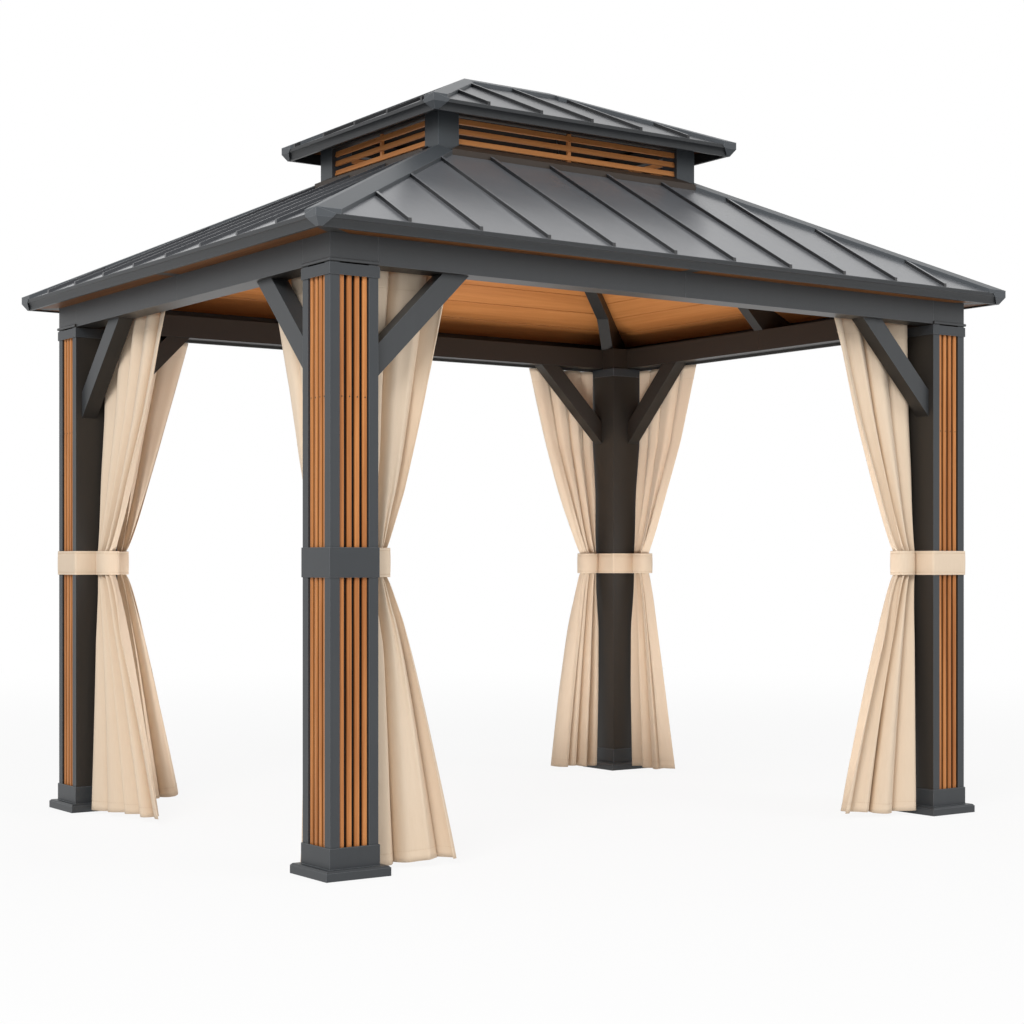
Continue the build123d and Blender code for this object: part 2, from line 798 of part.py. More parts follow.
write("curtain_rails", *[curtain_rail(side) for side in side_turns])
for (side, hand), name in curtain_names.items():
    write(name, curtain(side, hand))
tie_corners = {
    "front_left": (("front", -1), ("left", 1)), "front_right": (("front", 1), ("right", -1)),
    "back_right": (("right", 1), ("back", -1)), "back_left": (("back", 1), ("left", -1)),
}
ties = []
for corner, places in tie_corners.items():
    straps = [curtain_tie(side, hand) for side, hand in places]
    if corner == "front_left":
        ties += straps
    else:
        ties.append(at_corner(corner, post_strap()) + straps[0] + straps[1])
write("curtain_ties", *ties)
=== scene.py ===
import math
import random

import bpy
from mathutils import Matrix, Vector


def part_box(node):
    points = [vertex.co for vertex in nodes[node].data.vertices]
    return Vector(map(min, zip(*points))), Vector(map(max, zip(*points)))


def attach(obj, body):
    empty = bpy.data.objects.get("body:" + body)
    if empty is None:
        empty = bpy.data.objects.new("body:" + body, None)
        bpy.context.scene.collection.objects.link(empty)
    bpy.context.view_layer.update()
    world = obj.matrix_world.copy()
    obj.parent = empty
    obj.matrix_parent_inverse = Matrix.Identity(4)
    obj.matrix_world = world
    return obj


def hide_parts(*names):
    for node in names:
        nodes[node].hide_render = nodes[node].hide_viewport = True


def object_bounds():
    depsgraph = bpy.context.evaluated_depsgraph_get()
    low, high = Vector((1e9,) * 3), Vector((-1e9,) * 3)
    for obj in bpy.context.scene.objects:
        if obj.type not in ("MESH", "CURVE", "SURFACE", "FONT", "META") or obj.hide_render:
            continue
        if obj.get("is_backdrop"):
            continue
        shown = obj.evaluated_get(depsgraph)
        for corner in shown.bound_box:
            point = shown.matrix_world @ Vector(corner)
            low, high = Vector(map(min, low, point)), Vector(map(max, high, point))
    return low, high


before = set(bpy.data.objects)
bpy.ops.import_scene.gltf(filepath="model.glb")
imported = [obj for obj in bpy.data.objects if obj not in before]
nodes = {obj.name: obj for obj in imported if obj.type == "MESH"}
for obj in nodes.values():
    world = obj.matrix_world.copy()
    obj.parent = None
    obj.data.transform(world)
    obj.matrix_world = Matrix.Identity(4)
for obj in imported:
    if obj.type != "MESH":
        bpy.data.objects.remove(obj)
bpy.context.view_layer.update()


# Posts: four square tubes folded from thin steel sheet, with a channel pressed into each outer face.
# They are powder-coated in satin charcoal, with a painted highlight along each folded edge,
# and painted shade, darker and warmer, on the faces that look into the room.
corners = {"front_left": (-1, -1), "front_right": (1, -1), "back_right": (1, 1), "back_left": (-1, 1)}


class Socket:
    """A socket of a node tree: sums on it add Math nodes, and node() adds a node of any other kind."""

    def __init__(self, tree, plug=None):
        self.tree = tree
        self.plug = plug

    def node(self, kind, settings=None, sockets=None, out=0):
        made = self.tree.nodes.new(kind)
        for name, setting in (settings or {}).items():
            if name == "stops":
                stops = made.color_ramp.elements
                while len(stops) < len(setting):
                    stops.new(1.0)
                for stop, (place, tone) in zip(stops, setting):
                    stop.position = place
                    stop.color = tone
            else:
                setattr(made, name, setting)
        for name, value in (sockets or {}).items():
            if isinstance(value, Socket):
                self.tree.links.new(value.plug, made.inputs[name])
            else:
                made.inputs[name].default_value = value
        return Socket(self.tree, made.outputs[out] if made.outputs else None)

    def maths(self, operation, first, second=0.0):
        return self.node("ShaderNodeMath", {"operation": operation}, {0: first, 1: second})

    def __add__(self, other):
        return self.maths("ADD", self, other)

    def __sub__(self, other):
        return self.maths("SUBTRACT", self, other)

    def __rsub__(self, other):
        return self.maths("SUBTRACT", other, self)

    def __mul__(self, other):
        return self.maths("MULTIPLY", self, other)

    def __gt__(self, other):
        return self.maths("GREATER_THAN", self, other)

    def __abs__(self):
        return self.maths("ABSOLUTE", self)

    __radd__ = __add__
    __rmul__ = __mul__

    def sine(self):
        return self.maths("SINE", self)

    def least(self, other):
        return self.maths("MINIMUM", self, other)

    def axis(self, letter):
        return self.node("ShaderNodeSeparateXYZ", {}, {"Vector": self}, letter)

    def dot(self, other):
        return self.node("ShaderNodeVectorMath", {"operation": "DOT_PRODUCT"}, {0: self, 1: other}, "Value")

    def stretched(self, scale):
        return self.node("ShaderNodeMapping", {}, {"Vector": self, "Scale": scale})

    def noise(self, scale, detail=2.0, roughness=0.5, distortion=0.0):
        sockets = {"Vector": self, "Scale": scale, "Detail": detail}
        sockets.update({"Roughness": roughness, "Distortion": distortion})
        return self.node("ShaderNodeTexNoise", {}, sockets)

    def between(self, low, high, first=0.0, last=1.0, steps="LINEAR"):
        """This value, which runs from first to last, brought to the range from low to high."""
        sockets = {"Value": self, "From Min": first, "From Max": last, "To Min": low, "To Max": high}
        return self.node("ShaderNodeMapRange", {"interpolation_type": steps}, sockets)

    def ramp(self, *stops):
        return self.node("ShaderNodeValToRGB", {"stops": stops}, {"Fac": self})

    def mixed(self, first, second):
        """The two colours mixed by this value."""
        return self.node("ShaderNodeMix", {"data_type": "RGBA"}, {0: self, 6: first, 7: second}, 2)


def colour(red, green, blue):
    """A colour given as the eye sees it, from 0 to 255, as linear values."""
    shares = [part / 255 for part in (red, green, blue)]
    return (*[s / 12.92 if s <= 0.04045 else ((s + 0.055) / 1.055) ** 2.4 for s in shares], 1.0)


def start_finish(name):
    """An empty material, and the socket that its nodes begin from."""
    material = bpy.data.materials.new(name)
    material.use_nodes = True
    material.node_tree.nodes.clear()
    return material, Socket(material.node_tree)


def end_finish(start, sockets):
    shader = start.node("ShaderNodeBsdfPrincipled", {}, sockets)
    start.node("ShaderNodeOutputMaterial", {}, {"Surface": shader})


def coated_steel(name, dark, light, edge_highlight, roughness, ripple=0.0, gloss=1.45,
                 upright_shade=None, underside_shade=None, inward_shade=None):
    """Powder coat on folded steel: a faint cloud in its tone, a fine pebble, and a painted highlight along
    folded edges.

    Faces that stand on end, look into the room or look down take a darker colour as painted shade where one
    is given.
    """
    cloud_scale, pebble_scale, ripple_scale = 2.6, 700.0, 1.7
    streak_stretch = (30.0, 30.0, 1.5)
    fold_radius, highlight_gain = 0.0028, 5.0
    pebble_height, roughness_spread = 0.00003, 0.08
    material, start = start_finish(name)
    place = start.node("ShaderNodeTexCoord", out="Object")
    cloud = place.noise(cloud_scale, 4.0, 0.6)
    streak = place.stretched(streak_stretch).noise(1.0, 3.0, 0.6)
    fold = start.node("ShaderNodeBevel", {"samples": 4}, {"Radius": fold_radius})
    face = start.node("ShaderNodeNewGeometry", out="True Normal")
    tone = (cloud * 0.7 + streak * 0.3).between(-0.35, 1.35).mixed(dark, light)
    # Painted highlight: the tone turns paler where the rounded fold of an edge bends the normal.
    tone = ((1 - fold.dot(face)) * highlight_gain).mixed(tone, edge_highlight)
    # Painted shade on faces that stand on end, such as the sides of the roof seams.
    if upright_shade:
        tone = (face.axis("Z") > 0.3).mixed(upright_shade, tone)
    # Painted shade, darker and warmer, on faces that look in towards the middle of the room.
    if inward_shade:
        outward = place.dot(face) - face.axis("Z") * place.axis("Z")
        tone = (outward > -0.3).mixed(inward_shade, tone)
    # Painted shade on faces that look down.
    if underside_shade:
        tone = (face.axis("Z") > -0.7).mixed(underside_shade, tone)
    pebble = place.noise(pebble_scale, 2.0)
    height = pebble * pebble_height
    if ripple:
        height = height + place.noise(ripple_scale, 1.0) * ripple
    sockets = {"Strength": 0.6, "Distance": 1.0, "Height": height, "Normal": fold}
    bump = start.node("ShaderNodeBump", {}, sockets)
    uneven = (cloud * 0.5 + pebble * 0.5).between(roughness - roughness_spread, roughness + roughness_spread)
    end_finish(start, {"Base Color": tone, "Roughness": uneven, "Normal": bump, "IOR": gloss})
    return material


def dress(material, *names):
    """Gives CAD nodes a material."""
    for name in names:
        for place in nodes[name].material_slots:
            place.material = material


post_tones = (colour(54, 57, 60), colour(62, 65, 68), colour(108, 112, 116))
# The posts take painted shade on the faces that look into the room, and a painted highlight on their edges.
post_coat = coated_steel("charcoal_powder_coat", *post_tones, 0.46, inward_shade=colour(46, 42, 38))
dress(post_coat, *[f"{corner}_post" for corner in corners])


# Post slats: narrow aluminium bars with rounded arrises, rolled with a warm wood-look print.
# Four stand side by side in each channel, with painted shade darkening the grooves between them,
# and each is held by a small dark screw below the knee brace.
slat_stops = ((0.0, colour(104, 58, 28)), (0.4, colour(168, 104, 54)),
              (0.6, colour(200, 132, 74)), (1.0, colour(228, 168, 108)))
# The groove colour is painted shade for the shadow between the slats.
groove_painted_shade = colour(52, 30, 17)
groove_shade_start, groove_shade_end = 0.008, 0.018
frame_half_x, frame_half_y = 1.6, 1.22


def wood_look(start, along, across, depth, stops):
    """Straight wood grain: fine streaks and broad figure drawn out along the piece."""
    fine_along, fine_across = 3.0, 160.0
    broad_along, broad_across = 0.5, 26.0
    smooth, rough = 0.42, 0.58
    grain_depth = 0.0006
    sockets = {"X": along * fine_along, "Y": across * fine_across, "Z": depth * fine_across}
    streaks = start.node("ShaderNodeCombineXYZ", {}, sockets).noise(1.0, 5.0, 0.65, 0.4)
    sockets = {"X": along * broad_along, "Y": across * broad_across, "Z": depth * broad_across}
    figure = start.node("ShaderNodeCombineXYZ", {}, sockets).noise(1.0, 3.0, 0.5, 1.2)
    tone = (streaks * 0.55 + figure * 0.85 - 0.2).ramp(*stops)
    bump = start.node("ShaderNodeBump", {}, {"Strength": 0.5, "Distance": grain_depth, "Height": streaks})
    return tone, streaks.between(rough, smooth), bump


slat_print, start = start_finish("wood_look_slat_print")
place = start.node("ShaderNodeTexCoord", out="Object")
x, y = place.axis("X"), place.axis("Y")
tone, rough, bump = wood_look(start, place.axis("Z"), x, y, slat_stops)
inset = (frame_half_x - abs(x)).least(frame_half_y - abs(y))
# Painted shade: the print darkens deeper in the channel, between the slats.
tone = inset.between(0.0, 1.0, groove_shade_start, groove_shade_end).mixed(tone, groove_painted_shade)
end_finish(start, {"Base Color": tone, "Roughness": rough, "Normal": bump, "IOR": 1.45})
dress(slat_print, *[f"{corner}_post_slats" for corner in corners])

screw_finish, start = start_finish("dark_screw_zinc")
place = start.node("ShaderNodeTexCoord", out="Object")
grime = place.noise(420.0, 3.0)
tone = grime.mixed(colour(38, 34, 31), colour(78, 72, 66))
end_finish(start, {"Base Color": tone, "Roughness": grime.between(0.3, 0.55), "Metallic": 0.7})


def start_tree(name, inputs):
    """An empty Geometry Nodes tree with a geometry input and the named inputs."""
    tree = bpy.data.node_groups.new(name, "GeometryNodeTree")
    tree.interface.new_socket("Geometry", in_out="INPUT", socket_type="NodeSocketGeometry")
    for label, kind in inputs.items():
        tree.interface.new_socket(label, in_out="INPUT", socket_type=kind)
    tree.interface.new_socket("Geometry", in_out="OUTPUT", socket_type="NodeSocketGeometry")
    return tree, Socket(tree)


def end_tree(start, points, shape, turn):
    """Sets the shape on every point, turned, and ends the tree."""
    sockets = {"Points": points, "Instance": shape, "Rotation": turn}
    placed = start.node("GeometryNodeInstanceOnPoints", {}, sockets)
    real = start.node("GeometryNodeRealizeInstances", {}, {"Geometry": placed})
    finish = start.node("NodeGroupInput", out="Material")
    coated = start.node("GeometryNodeSetMaterial", {}, {"Geometry": real, "Material": finish})
    start.node("NodeGroupOutput", {}, {"Geometry": coated})


def link(name, mesh):
    piece = bpy.data.objects.new(name, mesh)
    bpy.context.scene.collection.objects.link(piece)
    return piece


def made_by_tree(name, mesh, tree, values):
    """Runs a tree on a seed mesh and keeps the result as a plain mesh."""
    piece = link(name, mesh)
    modifier = piece.modifiers.new(name, "NODES")
    modifier.node_group = tree
    for item in tree.interface.items_tree:
        if item.in_out == "INPUT" and item.name in values:
            modifier[item.identifier] = values[item.name]
    graph = bpy.context.evaluated_depsgraph_get()
    made = bpy.data.meshes.new_from_object(piece.evaluated_get(graph))
    piece.modifiers.clear()
    piece.data = made
    return piece


length_socket, finish_socket = "NodeSocketFloat", "NodeSocketMaterial"
tree_inputs = {"Head": length_socket, "Height": length_socket, "Material": finish_socket}
screw_tree, start = start_tree("screw heads", tree_inputs)
given = start.node("NodeGroupInput", out="Geometry")
head = start.node("NodeGroupInput", out="Head")
tall = start.node("NodeGroupInput", out="Height")
dome = start.node("GeometryNodeMeshUVSphere", {}, {"Segments": 10, "Rings": 6, "Radius": 1.0})
spread = start.node("ShaderNodeCombineXYZ", {}, {"X": head * 0.5, "Y": head * 0.5, "Z": tall})
dome = start.node("GeometryNodeTransform", {}, {"Geometry": dome, "Scale": spread})
points = start.node("GeometryNodeMeshToPoints", {}, {"Mesh": given})
facing = start.node("GeometryNodeInputNamedAttribute", {"data_type": "FLOAT_VECTOR"}, {"Name": "facing"})
turn = start.node("FunctionNodeAlignRotationToVector", {"axis": "Z"}, {"Vector": facing})
end_tree(start, points, dome, turn)

post_width, post_flange = 0.194, 0.038
slat_count, slat_width, slat_edge_gap = 4, 0.019, 0.003
screw_level, screw_head, screw_rise = 1.672, 0.0055, 0.0012
first_slat = post_width / 2 - post_flange - slat_edge_gap - slat_width / 2
slat_pitch = 2 * first_slat / (slat_count - 1)
places, facings = [], []
for corner, (sx, sy) in corners.items():
    low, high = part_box(f"{corner}_post")
    middle = (low + high) / 2
    slat_low, slat_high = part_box(f"{corner}_post_slats")
    face_x = slat_high.x if sx > 0 else slat_low.x
    face_y = slat_high.y if sy > 0 else slat_low.y
    for number in range(slat_count):
        step = number * slat_pitch - first_slat
        places += [(middle.x + step, face_y, screw_level), (face_x, middle.y + step, screw_level)]
        facings += [(0, sy, 0), (sx, 0, 0)]
mesh = bpy.data.meshes.new("slat_screws")
mesh.from_pydata(places, [], [])
layer = mesh.attributes.new("facing", "FLOAT_VECTOR", "POINT")
layer.data.foreach_set("vector", [part for facing in facings for part in facing])
values = {"Head": screw_head, "Height": screw_rise, "Material": screw_finish}
screws = made_by_tree("slat_screws", mesh, screw_tree, values)
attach(screws, "root")


# Base covers, collars and caps: pressed steel sleeves that slide over the posts.
# They hide the anchor plate, the joint at mid height and the joint under the beam.
cover_tones = (colour(52, 55, 58), colour(60, 63, 66), colour(116, 120, 124))
cover_coat = coated_steel("charcoal_cover_coat", *cover_tones, 0.44)
dress(cover_coat, "base_covers", "post_collars", "post_caps")


# Beams, corner blocks and knee braces: steel box sections, each beam in two lengths spliced at its middle.
# The beams bolt to the blocks on the posts, and a brace closes each corner between post and beam.
side_turns = {"front": 0, "right": 90, "back": 180, "left": 270}
beam_tones = (colour(56, 58, 60), colour(64, 66, 68), colour(106, 109, 112))
# The beam coat carries painted shade: dark on the undersides, and darker and warmer on the faces that look
# into the room.
beam_coat = coated_steel("charcoal_beam_coat", *beam_tones, 0.44,
                         underside_shade=colour(34, 32, 30), inward_shade=colour(44, 38, 33))
dress(beam_coat, "corner_blocks", "knee_braces", *[f"{side}_beam" for side in side_turns])


# Rafters and ring: folded steel bars under the roof, from the posts and beams up to the vent opening.
# The ring frames the opening and carries the short posts of the upper tier.
rafter_tones = (colour(40, 39, 38), colour(48, 47, 45), colour(84, 84, 84))
rafter_coat = coated_steel("dark_rafter_coat", *rafter_tones, 0.5)
dress(rafter_coat, "hip_rafters", "middle_rafters", *[f"ring_{side}_bar" for side in side_turns])


# Ceiling boards: thin wood-look boards under the lower roof sheets, laid along the eaves with open joints.
# Each board is cut to the hips and clipped between the rafters.
board_width, board_joint, board_arris = 0.142, 0.006, 0.0014
board_top, board_underside = 0.0044, 0.0118
eave_inset, hip_gap, least_reach = 0.034, 0.006, 0.001
lower_eave, lower_top = (1.724, 1.344), (0.677, 0.48)
eave_level, top_level = 2.274, 2.768
board_stops = ((0.0, colour(152, 94, 48)), (0.4, colour(184, 119, 66)),
               (0.6, colour(198, 132, 76)), (1.0, colour(214, 153, 98)))

board_print, start = start_finish("wood_look_board_print")
run = start.node("ShaderNodeUVMap", {"uv_map": "board"})
tint = start.node("ShaderNodeAttribute", {"attribute_name": "tint"}, {}, "Fac")
tone, rough, bump = wood_look(start, run.axis("X"), run.axis("Y") * 0.5, tint * 0.3, board_stops)
tone = tint.between(0.0, 0.3).mixed(tone, colour(170, 106, 54))
end_finish(start, {"Base Color": tone, "Roughness": rough, "Normal": bump, "IOR": 1.45})


def turned(side, along, out, level):
    """A point of a side that is described as if that side faced the front."""
    angle = math.radians(side_turns[side])
    c, s = math.cos(angle), math.sin(angle)
    return Vector((along * c + out * s, along * s - out * c, level))


draw = random.Random(11)
points, faces, spans, tints = [], [], [], []
board_quads = ((4, 5, 7, 6), (1, 0, 2, 3), (0, 1, 5, 4), (3, 2, 6, 7), (2, 0, 4, 6), (1, 3, 7, 5))
for side in side_turns:
    half, out = lower_eave if side in ("front", "back") else lower_eave[::-1]
    half_top, out_top = lower_top if side in ("front", "back") else lower_top[::-1]
    fall = math.hypot(out - out_top, top_level - eave_level)
    first, last = eave_inset / (out - out_top), 1 - hip_gap / fall
    count = round(fall * (last - first) / board_width)
    for number in range(count):
        shade, slide = draw.random(), draw.random() * 5
        base = len(points)
        for drop in (board_top, board_underside):
            for part, shift in ((number, board_joint), (number + 1, -board_joint)):
                share = first + (last - first) * part / count + shift / 2 / fall
                reach = max(half + (half_top - half) * share - hip_gap, least_reach)
                level = eave_level + (top_level - eave_level) * share - drop
                for end in (-1, 1):
                    points.append(turned(side, end * reach, out + (out_top - out) * share, level))
                    spans.append((end * reach + slide, share * fall))
                    tints.append(shade)
        faces += [[base + i for i in quad] for quad in board_quads]
mesh = bpy.data.meshes.new("lower_ceiling_boards")
mesh.from_pydata(points, [], faces)
layer = mesh.uv_layers.new(name="board")
for loop in mesh.loops:
    layer.data[loop.index].uv = spans[loop.vertex_index]
mesh.attributes.new("tint", "FLOAT", "POINT").data.foreach_set("value", tints)
mesh.materials.append(board_print)
boards = link("lower_ceiling_boards", mesh)
boards.modifiers.new("arris", "BEVEL").width = board_arris
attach(boards, "root")
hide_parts("lower_lining")


# Soffits and upper lining: wood-look boards that close the lower eaves, and the boards of the upper tier.
# The print shows under both eaves in a darker copy, painted shade for the eaves; inside the vent the upper
# boards are painted near black as shade.
# A darker copy of the board print, painted as the shade under the eaves.
eave_shaded_stops = ((0.0, colour(56, 33, 15)), (0.4, colour(90, 55, 26)),
              (0.6, colour(108, 68, 33)), (1.0, colour(130, 87, 48)))
soffit_corner_offset, upper_corner_offset = -0.38, -0.167
vent_half_x, vent_half_y = 0.672, 0.475


def grain_along_sides(start, place, on_long_side, stops):
    """Wood look with its grain along the side of the roof that a point is on."""
    x, y = place.axis("X"), place.axis("Y")
    along = x * on_long_side + y * (1 - on_long_side)
    across = y * on_long_side + x * (1 - on_long_side)
    return wood_look(start, along, across * 0.5, place.axis("Z") * 0.5, stops)


soffit_print, start = start_finish("wood_look_soffit_print")
place = start.node("ShaderNodeTexCoord", out="Object")
on_long_side = (abs(place.axis("Y")) - abs(place.axis("X"))) > soffit_corner_offset
tone, rough, bump = grain_along_sides(start, place, on_long_side, eave_shaded_stops)
end_finish(start, {"Base Color": tone, "Roughness": rough, "Normal": bump, "IOR": 1.2})
dress(soffit_print, "eave_soffits")

upper_print, start = start_finish("wood_look_upper_print")
place = start.node("ShaderNodeTexCoord", out="Object")
x, y = place.axis("X"), place.axis("Y")
on_long_side = (abs(y) - abs(x)) > upper_corner_offset
tone, rough, bump = grain_along_sides(start, place, on_long_side, eave_shaded_stops)
# Painted shade: the boards inside the vent are near black where the vent lies in shadow.
vent_shade = place.noise(40.0, 3.0).mixed(colour(20, 17, 15), colour(30, 25, 21))
outside = (abs(x) > vent_half_x) + (abs(y) > vent_half_y)
tone = outside.mixed(vent_shade, tone)
end_finish(start, {"Base Color": tone, "Roughness": rough, "Normal": bump, "IOR": 1.2})
dress(upper_print, "upper_lining")


# Roof sheets: galvanised steel, coil-coated dark grey, with seams folded up where the strips join.
# The wide flats between the seams are never quite flat, so they carry soft uneven reflections.
sheet_ripple = 0.003
lower_tones = (colour(98, 100, 104), colour(109, 111, 115), colour(140, 143, 148))
upper_tones = (colour(60, 62, 66), colour(70, 72, 76), colour(118, 121, 126))
# The standing sides of the seams are painted dark as shade, less dark on the end slopes.
seam_shade, end_seam_shade = colour(30, 31, 33), colour(62, 64, 68)
lower_coat = coated_steel("lower_sheet_coat", *lower_tones, 0.25, sheet_ripple, 1.7, seam_shade)
upper_coat = coated_steel("upper_sheet_coat", *upper_tones, 0.3, sheet_ripple, 1.55, seam_shade)
end_coat = coated_steel("lower_end_sheet_coat", *lower_tones, 0.25, sheet_ripple, 1.7, end_seam_shade)
dress(lower_coat, "lower_front_roof_sheet", "lower_back_roof_sheet")
dress(end_coat, "lower_left_roof_sheet", "lower_right_roof_sheet")
dress(upper_coat, *[f"upper_{side}_roof_sheet" for side in side_turns])


# Hip caps, ridge cap and flashing: narrow folded strips that cover the cut edges of the sheets.
# The flashing closes the sheets against the ring under the vent; the brown in its dark coat is painted
# reflection of the brown vent boards above.
cap_tones = (colour(66, 70, 74), colour(76, 80, 84), colour(130, 134, 139))
# Dark coat tinted brown as a painted reflection of the wood-look vent above.
flashing_reflection_tones = (colour(50, 42, 36), colour(60, 51, 44), colour(92, 84, 76))
cap_coat = coated_steel("roof_cap_coat", *cap_tones, 0.4)
flashing_coat = coated_steel("flashing_coat", *flashing_reflection_tones, 0.55)
dress(cap_coat, "lower_hip_caps", "upper_roof_caps")
dress(flashing_coat, "vent_flashing")


# Eave trim: a rolled steel moulding along each eave, mitred, with a folded cover over every corner.
# The moulding is coated in charcoal, and the covers match the hip caps.
trim_tones = (colour(38, 40, 42), colour(46, 48, 50), colour(92, 95, 98))
trim_coat = coated_steel("eave_trim_coat", *trim_tones, 0.46)
dress(trim_coat, "upper_eave_trim", *[f"lower_{side}_eave_trim" for side in side_turns])
dress(cap_coat, "lower_eave_corners", "upper_eave_corners")


# Vent posts and head bars: short folded steel posts on the ring, and the bars across their tops.
# The posts are coated in the charcoal of the frame, and the bars, in the shade of the eaves, are painted near
# black as that shade.
vent_tones = (colour(54, 59, 63), colour(62, 67, 71), colour(122, 128, 134))
# Near-black brown painted on the head bars as the shade under the upper eaves.
head_shade_tones = (colour(26, 23, 21), colour(34, 30, 27), colour(60, 56, 52))
dress(coated_steel("vent_frame_coat", *vent_tones, 0.42), "vent_posts")
dress(coated_steel("vent_head_shade", *head_shade_tones, 0.6), "vent_head_bars")


# Vent louvres: thin wood-look blades that let hot air out, tilted to shed rain.
# Three on each side sit between the vent posts, with a stile at the middle of each.
louvre_side = 0.41
louvre_print, start = start_finish("wood_look_louvre_print")
place = start.node("ShaderNodeTexCoord", out="Object")
tone, rough, bump = grain_along_sides(start, place, abs(place.axis("Y")) > louvre_side, board_stops)
end_finish(start, {"Base Color": tone, "Roughness": rough, "Normal": bump, "IOR": 1.45})
dress(louvre_print, "vent_louvres")


# Curtain rails: square aluminium rails, one on each side, in the dark coat of the rafters.
# The front and left ones are screwed to the inner faces of the beams, the other two under the beams.
dress(rafter_coat, "curtain_rails")


# Curtains: eight panels of plain-woven beige cloth, gathered on the rails and tied back to the posts.
# Each has a header seam, a turned hem at the foot and soft deep folds that meet in its tie.
cloth, start = start_finish("beige_curtain_cloth")
thread = start.node("ShaderNodeUVMap", {"uv_map": "cloth"})
place = start.node("ShaderNodeTexCoord", out="Object")
thread_rate, slub_stretch = 5200.0, (260.0, 14.0, 1.0)
warp = (thread.axis("X") * thread_rate).sine()
weft = (thread.axis("Y") * thread_rate).sine()
slub = thread.stretched(slub_stretch).noise(1.0, 3.0, 0.6)
fade = place.noise(3.0, 3.0)
tone = (slub * 0.6 + fade * 0.4).between(0.0, 1.0).mixed(colour(226, 203, 176), colour(238, 219, 196))
weave = warp * weft * 0.5 + slub
bump = start.node("ShaderNodeBump", {}, {"Strength": 0.35, "Distance": 0.0004, "Height": weave})
cloth_sockets = {"Base Color": tone, "Roughness": slub.between(0.78, 0.95), "Normal": bump}
cloth_sockets.update({"IOR": 1.4, "Sheen Weight": 0.12, "Sheen Roughness": 0.5})
end_finish(start, cloth_sockets)

thread_finish, start = start_finish("beige_sewing_thread")
place = start.node("ShaderNodeTexCoord", out="Object")
twist = place.noise(900.0, 2.0)
tone = twist.mixed(colour(206, 181, 152), colour(226, 203, 175))
end_finish(start, {"Base Color": tone, "Roughness": twist.between(0.6, 0.8), "IOR": 1.4})

tree_inputs = {"Pitch": length_socket, "Length": length_socket, "Thread": length_socket}
stitch_tree, start = start_tree("stitches along a seam", {**tree_inputs, "Material": finish_socket})
given = start.node("NodeGroupInput", out="Geometry")
seam = start.node("GeometryNodeMeshToCurve", {}, {"Mesh": given})
pitch = start.node("NodeGroupInput", out="Pitch")
seam = start.node("GeometryNodeResampleCurve", {"mode": "LENGTH"}, {"Curve": seam, "Length": pitch})
wide = start.node("NodeGroupInput", out="Thread")
long = start.node("NodeGroupInput", out="Length")
stitch = start.node("GeometryNodeMeshCylinder", {}, {"Vertices": 5, "Radius": wide, "Depth": long})
tangent = start.node("GeometryNodeInputTangent")
turn = start.node("FunctionNodeAlignRotationToVector", {"axis": "Z"}, {"Vector": tangent})
end_tree(start, seam, stitch, turn)

inner_rail, outer_rail = 2.1495, 2.1235
brace_foot = 1.733
tie_top, tie_bottom = 1.1485, 1.0435
hem_level = 0.017
header_depth, hem_depth, tuck_reach = 0.07, 0.04, 0.005
waist, tie_round = 0.1, 2.6
fold_cloth, cloth_length, cloth_thickness = 0.18, 2.17, 0.0016
fold_reach, zone_clearance = 0.05, 0.0015
post_gap, hem_shift, rail_shift = 0.203, 0.027, 0.004
seam_pitch, seam_stitch, thread_radius, thread_lift = 0.009, 0.0062, 0.0006, 0.0011
columns_a_fold = 52
rows_above, rows_within, rows_below = 44, 6, 48
pinch_below, pinch_above, pinch_depth = 0.32, 0.36, 0.95
fold_wander, wander_rate, fold_round, fold_share = 0.4, 2.4, 0.006, 0.9
crease_share, tie_crease_share, tie_crease_reach = 0.1, 0.16, 0.35
seam_draw, seam_draw_reach = 0.96, 0.0012
hem_lift, hem_wave, hem_lift_reach = 0.012, 0.004, 0.5
half_sizes = {"front": (frame_half_x, frame_half_y), "right": (frame_half_y, frame_half_x),
              "back": (frame_half_x, frame_half_y), "left": (frame_half_y, frame_half_x)}
inner_zone = ((hem_level, 0.025, 0.19), (tie_bottom, 0.08, 0.165), (tie_top, 0.08, 0.165),
              (brace_foot, 0.104, 0.182), (inner_rail, 0.104, 0.182))
outer_zone = ((hem_level, 0.004, 0.12), (tie_bottom, 0.004, 0.088), (tie_top, 0.004, 0.088),
              (brace_foot, -0.014, 0.025), (outer_rail, -0.014, 0.025))


def eased(value, low, high):
    """0 below low, 1 above high, and a smooth step between them."""
    share = min(max((value - low) / (high - low), 0.0), 1.0)
    return share * share * (3 - 2 * share)


def depth_zone(inner, level):
    """The middle and half depth of a curtain behind the outer face of its post, at a level."""
    zone = inner_zone if inner else outer_zone
    for (low, low_near, low_far), (high, high_near, high_far) in zip(zone, zone[1:]):
        share = min(max((level - low) / (high - low), 0.0), 1.0)
        if level <= high:
            break
    near = low_near + (high_near - low_near) * share
    far = low_far + (high_far - low_far) * share
    return (near + far) / 2, (far - near) / 2 - zone_clearance


def curtain_width(top, hem, rail_level, level):
    """A curtain's width at a level: from its rail in to the tie, then out again to the hem."""
    if level > tie_top:
        share = (level - tie_top) / (rail_level - tie_top)
        return waist + (top - waist) * share ** 0.86
    if level < tie_bottom:
        share = (tie_bottom - level) / (tie_bottom - hem_level)
        return waist + (hem - waist) * share ** 0.8
    return waist


def drawn_waves(draw, counts, low, high):
    """Waves across a curtain, each as its count, its size and where it starts."""
    return [(count, draw.uniform(low, high), draw.uniform(0, math.tau)) for count in counts]


def wave_sum(waves, u, shift=0.0):
    """The waves added up at a share u of the way across the curtain."""
    return sum(size * math.sin(math.tau * count * u + begin + shift) for count, size, begin in waves)


